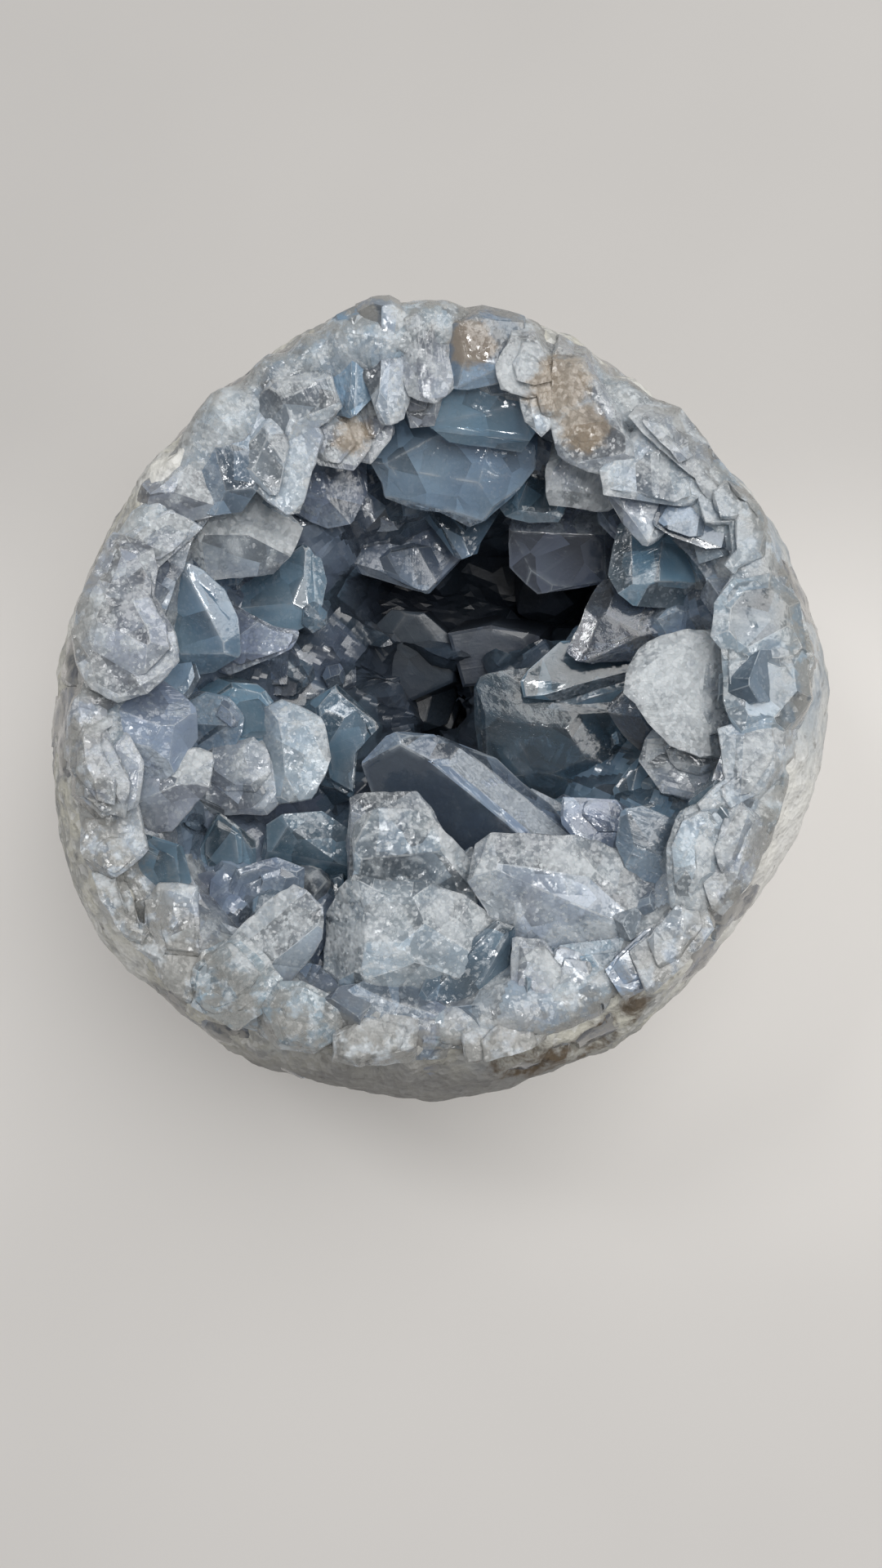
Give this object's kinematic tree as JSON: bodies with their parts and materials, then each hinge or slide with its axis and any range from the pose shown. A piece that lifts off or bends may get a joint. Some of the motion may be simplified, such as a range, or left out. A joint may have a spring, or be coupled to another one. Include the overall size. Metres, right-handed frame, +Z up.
{
  "type": "celestite geode",
  "caption": "Egg-shaped grey-white stone, broken open at the top, its hollow lined with a crust of pale blue-grey celestite crystals.",
  "frame": {"origin": "middle of the small flat spot that the stone rests on", "axes": "+Z up out of the open hollow; +Y towards the back, the side with the tallest lip and the overhanging crystals; +X to the right when seen from the front"},
  "size_m": [0.1185, 0.1183, 0.083],
  "materials": {
    "stone": "ground smooth in places, otherwise granular and pitted, cream-grey with rust-brown pits",
    "celestite": "vitreous pale blue-grey crystal, clear to hazy, frosted at the broken rim"
  },
  "bodies": {
    "root": {"stone": "stone", "crystal_crust": "celestite"}
  },
  "joints": []
}
